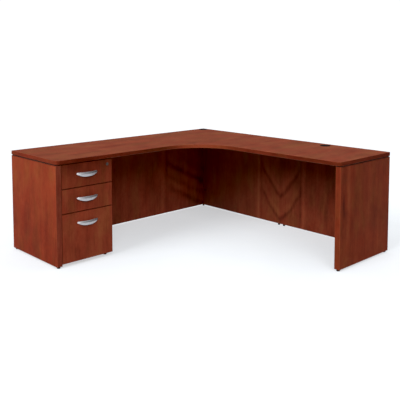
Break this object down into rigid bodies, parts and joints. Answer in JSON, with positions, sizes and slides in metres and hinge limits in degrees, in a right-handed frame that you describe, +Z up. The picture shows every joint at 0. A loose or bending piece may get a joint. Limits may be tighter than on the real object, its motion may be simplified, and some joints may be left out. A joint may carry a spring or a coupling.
{
  "type": "corner desk",
  "caption": "L-shaped veneered corner desk with a curved inner front edge, panel ends, full modesty panels, cable grommets and a pedestal of drawers at the end of one arm",
  "frame": {"origin": "on the floor, under the middle of the square that the two arms span", "axes": "+Z up, right arm along +X at the +Y side, left arm along -Y at the -X side, drawers open along +X"},
  "size_m": [1.981, 1.981, 0.751],
  "materials": {
    "cherry_veneer": "satin lacquer",
    "drawer_birch": "clear lacquer",
    "black_strip": "matte",
    "black_plastic": "matte",
    "brown_steel": "brown powder coat",
    "zinc_steel": "zinc plated",
    "satin_nickel": "satin",
    "lock_metal": "satin"
  },
  "bodies": {
    "desk_frame": {"worktop": "cherry_veneer", "left_end_panel": "cherry_veneer", "right_end_panel": "cherry_veneer", "left_modesty_panel": "cherry_veneer", "right_modesty_panel": "cherry_veneer", "support_reveal_strips": "black_strip", "back_reveal_strips": "black_strip", "pedestal_left_side": "cherry_veneer", "pedestal_right_side": "cherry_veneer", "pedestal_bottom": "cherry_veneer", "pedestal_back": "cherry_veneer", "pedestal_top_rails": "cherry_veneer", "case_slide_members": "zinc_steel", "steel_brackets": "brown_steel", "bracket_screws": "brown_steel", "pedestal_screws": "zinc_steel", "grommet_sleeves": "black_plastic", "lock_strike": "zinc_steel"},
    "file_drawer": {"file_drawer_front": "cherry_veneer", "file_drawer_left_side": "drawer_birch", "file_drawer_right_side": "drawer_birch", "file_drawer_back": "drawer_birch", "file_drawer_bottom": "drawer_birch", "file_drawer_pull": "satin_nickel", "file_drawer_pull_screws": "zinc_steel", "file_drawer_slide_members": "zinc_steel", "file_drawer_hanging_rails": "zinc_steel"},
    "file_slides": {"file_middle_slide_members": "zinc_steel"},
    "middle_drawer": {"middle_drawer_front": "cherry_veneer", "middle_drawer_left_side": "drawer_birch", "middle_drawer_right_side": "drawer_birch", "middle_drawer_back": "drawer_birch", "middle_drawer_bottom": "drawer_birch", "middle_drawer_pull": "satin_nickel", "middle_drawer_pull_screws": "zinc_steel", "middle_drawer_slide_members": "zinc_steel"},
    "middle_slides": {"middle_middle_slide_members": "zinc_steel"},
    "top_drawer": {"top_drawer_front": "cherry_veneer", "top_drawer_left_side": "drawer_birch", "top_drawer_right_side": "drawer_birch", "top_drawer_back": "drawer_birch", "top_drawer_bottom": "drawer_birch", "top_drawer_pull": "satin_nickel", "top_drawer_pull_screws": "zinc_steel", "top_drawer_slide_members": "zinc_steel", "lock_housing": "lock_metal"},
    "top_slides": {"top_middle_slide_members": "zinc_steel"},
    "lock_core": {"lock_plug": "lock_metal", "lock_cam": "zinc_steel"},
    "corner_cap": {"corner_grommet_cap": "black_plastic"},
    "right_cap": {"right_grommet_cap": "black_plastic"},
    "left_front_glide": {"left_front_glide": "black_plastic"},
    "left_back_glide": {"left_back_glide": "black_plastic"},
    "right_front_glide": {"right_front_glide": "black_plastic"},
    "right_back_glide": {"right_back_glide": "black_plastic"},
    "corner_glide": {"corner_glide": "black_plastic"},
    "middle_near_glide": {"middle_near_glide": "black_plastic"},
    "middle_far_glide": {"middle_far_glide": "black_plastic"},
    "pedestal_front_glide": {"pedestal_front_glide": "black_plastic"},
    "pedestal_back_glide": {"pedestal_back_glide": "black_plastic"}
  },
  "joints": [
    {"name": "drawer_file_slide", "type": "slide", "parent": "desk_frame", "child": "file_drawer", "axis": [1, 0, 0], "range_m": [0, 0.48]},
    {"name": "members_file_travel", "type": "slide", "parent": "desk_frame", "child": "file_slides", "axis": [1, 0, 0], "range_m": [0, 0.24]},
    {"name": "drawer_middle_slide", "type": "slide", "parent": "desk_frame", "child": "middle_drawer", "axis": [1, 0, 0], "range_m": [0, 0.48]},
    {"name": "members_middle_travel", "type": "slide", "parent": "desk_frame", "child": "middle_slides", "axis": [1, 0, 0], "range_m": [0, 0.24]},
    {"name": "drawer_top_slide", "type": "slide", "parent": "desk_frame", "child": "top_drawer", "axis": [1, 0, 0], "range_m": [0, 0.48]},
    {"name": "members_top_travel", "type": "slide", "parent": "desk_frame", "child": "top_slides", "axis": [1, 0, 0], "range_m": [0, 0.24]},
    {"name": "drawer_top_lock_turn", "type": "hinge", "parent": "top_drawer", "child": "lock_core", "pos_m": [-0.3795, -0.5715, 0.678], "axis": [1, 0, 0], "range_deg": [-90, 0]},
    {"name": "grommet_corner_cap_turn", "type": "hinge", "parent": "desk_frame", "child": "corner_cap", "pos_m": [-0.9355, 0.9355, 0.7495], "axis": [0, 0, 1], "continuous": true},
    {"name": "grommet_right_cap_turn", "type": "hinge", "parent": "desk_frame", "child": "right_cap", "pos_m": [0.4795, 0.9055, 0.7495], "axis": [0, 0, 1], "continuous": true},
    {"name": "glide_left_front_turn", "type": "hinge", "parent": "desk_frame", "child": "left_front_glide", "pos_m": [-0.3785, -0.96985, 0.012], "axis": [0, 0, 1], "continuous": true},
    {"name": "glide_left_back_turn", "type": "hinge", "parent": "desk_frame", "child": "left_back_glide", "pos_m": [-0.9705, -0.96985, 0.012], "axis": [0, 0, 1], "continuous": true},
    {"name": "glide_right_front_turn", "type": "hinge", "parent": "desk_frame", "child": "right_front_glide", "pos_m": [0.96985, 0.3785, 0.012], "axis": [0, 0, 1], "continuous": true},
    {"name": "glide_right_back_turn", "type": "hinge", "parent": "desk_frame", "child": "right_back_glide", "pos_m": [0.96985, 0.9705, 0.012], "axis": [0, 0, 1], "continuous": true},
    {"name": "glide_corner_turn", "type": "hinge", "parent": "desk_frame", "child": "corner_glide", "pos_m": [-0.9755, 0.981, 0.012], "axis": [0, 0, 1], "continuous": true},
    {"name": "glide_middle_near_turn", "type": "hinge", "parent": "desk_frame", "child": "middle_near_glide", "pos_m": [-0.0355, 0.981, 0.012], "axis": [0, 0, 1], "continuous": true},
    {"name": "glide_middle_far_turn", "type": "hinge", "parent": "desk_frame", "child": "middle_far_glide", "pos_m": [0.0185, 0.981, 0.012], "axis": [0, 0, 1], "continuous": true},
    {"name": "glide_pedestal_front_turn", "type": "hinge", "parent": "desk_frame", "child": "pedestal_front_glide", "pos_m": [-0.4145, -0.5625, 0.012], "axis": [0, 0, 1], "continuous": true},
    {"name": "glide_pedestal_back_turn", "type": "hinge", "parent": "desk_frame", "child": "pedestal_back_glide", "pos_m": [-0.9105, -0.5625, 0.012], "axis": [0, 0, 1], "continuous": true}
  ],
  "couplings": [
    {"joint": "members_file_travel", "follows": "drawer_file_slide", "ratio": 0.5},
    {"joint": "members_middle_travel", "follows": "drawer_middle_slide", "ratio": 0.5},
    {"joint": "members_top_travel", "follows": "drawer_top_slide", "ratio": 0.5}
  ]
}
